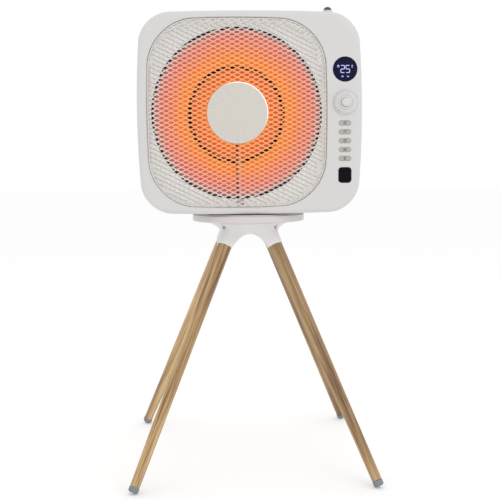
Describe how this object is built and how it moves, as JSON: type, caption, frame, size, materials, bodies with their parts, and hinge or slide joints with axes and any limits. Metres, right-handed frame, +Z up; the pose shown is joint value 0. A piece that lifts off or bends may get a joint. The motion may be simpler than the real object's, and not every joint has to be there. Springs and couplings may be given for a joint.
{
  "type": "ceramic space heater",
  "caption": "Fan-assisted dish heater in a rounded-square head with a diamond mesh front and side controls, swivelling on a low turntable above splayed wooden legs.",
  "frame": {"origin": "on the floor, midway between the four feet, straight below the swivel axis", "axes": "+Z up along the swivel axis, -Y out of the mesh front, +X towards the control column"},
  "size_m": [0.417, 0.417, 0.7825],
  "materials": {
    "casing": "satin white moulding",
    "stand_plastic": "satin white moulding",
    "grille": "white powder coat on expanded metal",
    "grille_disc": "warm grey satin with a fine turned grain",
    "baffle": "white satin",
    "reflector": "bright dish lit by the element",
    "ceramic": "unglazed",
    "hot_wire": "glowing resistance wire",
    "plated_steel": "zinc plated",
    "nylon": "brown-grey slippery plastic",
    "wood": "satin lacquered turned hardwood",
    "foot_rubber": "matte grey",
    "grey_button": "warm grey satin",
    "dark_plastic": "charcoal satin",
    "window_black": "gloss black, infrared clear",
    "display_glass": "smoked glossy lens over lit numerals",
    "circuit_board": "green solder mask"
  },
  "bodies": {
    "stand": {"leg_front_right": "wood", "leg_rear_right": "wood", "leg_rear_left": "wood", "leg_front_left": "wood", "foot_cap_front_right": "foot_rubber", "foot_cap_rear_right": "foot_rubber", "foot_cap_rear_left": "foot_rubber", "foot_cap_front_left": "foot_rubber", "leg_screw_front_right": "plated_steel", "leg_screw_rear_right": "plated_steel", "leg_screw_rear_left": "plated_steel", "leg_screw_front_left": "plated_steel", "leg_hub": "stand_plastic", "hub_screw_1": "plated_steel", "hub_screw_2": "plated_steel", "turntable_disc": "stand_plastic", "bearing_ring": "nylon", "pivot_sleeve": "plated_steel", "swivel_gear": "nylon", "pivot_nut": "plated_steel"},
    "head": {"front_bezel": "casing", "rear_casing": "casing", "case_screw_1": "plated_steel", "case_screw_2": "plated_steel", "case_screw_3": "plated_steel", "case_screw_4": "plated_steel", "cord_gland": "dark_plastic", "base_plate": "plated_steel", "swivel_motor": "plated_steel", "tip_over_switch": "dark_plastic", "front_grille": "grille", "grille_disc": "grille_disc", "grille_disc_nut": "plated_steel", "baffle_plate": "baffle", "reflector_dish": "reflector", "reflector_core": "reflector", "dish_spider": "plated_steel", "heater_core": "ceramic", "heating_coil": "hot_wire", "element_stay": "plated_steel", "thermal_cutout": "dark_plastic", "fan_motor": "plated_steel", "motor_bracket": "plated_steel", "control_board": "circuit_board", "display_module": "dark_plastic", "display_lens": "display_glass", "dial_encoder": "dark_plastic", "sensor_window": "window_black", "power_board": "circuit_board"},
    "swivel_drive": {"swivel_pinion": "nylon"},
    "fan": {"fan_blade": "dark_plastic", "fan_shaft": "plated_steel"},
    "dial": {"dial_knob": "casing"},
    "power_key": {"power_button": "casing"},
    "top_key": {"top_button": "dark_plastic"},
    "mode_key_1": {"mode_button_1": "grey_button"},
    "mode_key_2": {"mode_button_2": "grey_button"},
    "mode_key_3": {"mode_button_3": "grey_button"},
    "mode_key_4": {"mode_button_4": "grey_button"},
    "mode_key_5": {"mode_button_5": "grey_button"}
  },
  "joints": [
    {"name": "head_swivel", "type": "hinge", "parent": "stand", "child": "head", "pos_m": [0, 0, 0.4368], "axis": [0, 0, 1], "range_deg": [-35, 35]},
    {"name": "swivel_drive_spin", "type": "hinge", "parent": "head", "child": "swivel_drive", "pos_m": [0.048, 0, 0.448], "axis": [0, 0, 1], "range_deg": [-110, 110]},
    {"name": "fan_spin", "type": "hinge", "parent": "head", "child": "fan", "pos_m": [-0.0215, 0.002, 0.6038], "axis": [0, 1, 0], "continuous": true},
    {"name": "dial_turn", "type": "hinge", "parent": "head", "child": "dial", "pos_m": [0.15675, -0.0955, 0.6203], "axis": [0, 1, 0], "continuous": true},
    {"name": "power_key_press", "type": "slide", "parent": "dial", "child": "power_key", "axis": [0, 1, 0], "range_m": [0, 0.0015], "stiffness_N_per_m": 400, "springref_m": -0.001},
    {"name": "top_key_press", "type": "slide", "parent": "head", "child": "top_key", "axis": [0, 0, -1], "range_m": [0, 0.0015], "stiffness_N_per_m": 400, "springref_m": -0.001},
    {"name": "mode_key_1_press", "type": "slide", "parent": "head", "child": "mode_key_1", "axis": [0, 1, 0], "range_m": [0, 0.0008], "stiffness_N_per_m": 400, "springref_m": -0.001},
    {"name": "mode_key_2_press", "type": "slide", "parent": "head", "child": "mode_key_2", "axis": [0, 1, 0], "range_m": [0, 0.0008], "stiffness_N_per_m": 400, "springref_m": -0.001},
    {"name": "mode_key_3_press", "type": "slide", "parent": "head", "child": "mode_key_3", "axis": [0, 1, 0], "range_m": [0, 0.0008], "stiffness_N_per_m": 400, "springref_m": -0.001},
    {"name": "mode_key_4_press", "type": "slide", "parent": "head", "child": "mode_key_4", "axis": [0, 1, 0], "range_m": [0, 0.0008], "stiffness_N_per_m": 400, "springref_m": -0.001},
    {"name": "mode_key_5_press", "type": "slide", "parent": "head", "child": "mode_key_5", "axis": [0, 1, 0], "range_m": [0, 0.0008], "stiffness_N_per_m": 400, "springref_m": -0.001}
  ],
  "couplings": [
    {"joint": "swivel_drive_spin", "follows": "head_swivel", "ratio": 3}
  ]
}
